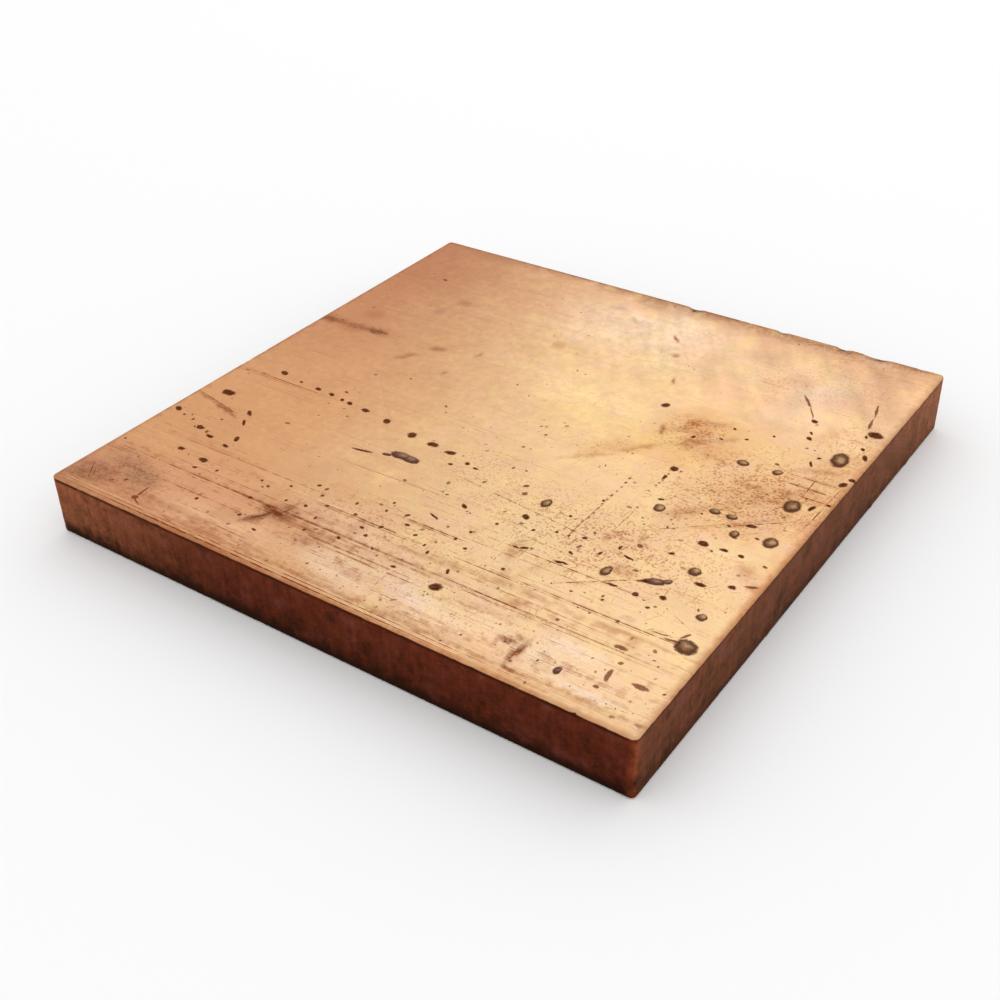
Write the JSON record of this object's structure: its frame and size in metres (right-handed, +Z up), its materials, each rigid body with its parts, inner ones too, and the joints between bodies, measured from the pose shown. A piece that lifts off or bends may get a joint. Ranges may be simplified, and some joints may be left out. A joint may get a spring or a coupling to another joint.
{
  "type": "copper sheet",
  "caption": "Square blank of thick rolled copper sheet with saw-cut sides and filed edges, raw stock for machining, busbars or heat spreaders.",
  "frame": {"origin": "middle of the lower face, on the surface that the sheet lies on", "axes": "+Z up through the thickness, +X along the rolling direction and one pair of sides, +Y along the other pair"},
  "size_m": [0.1, 0.1, 0.01],
  "materials": {
    "copper": "rolled copper, worn and tarnished, with saw-cut sides"
  },
  "bodies": {
    "root": {"copper_sheet": "copper"}
  },
  "joints": []
}
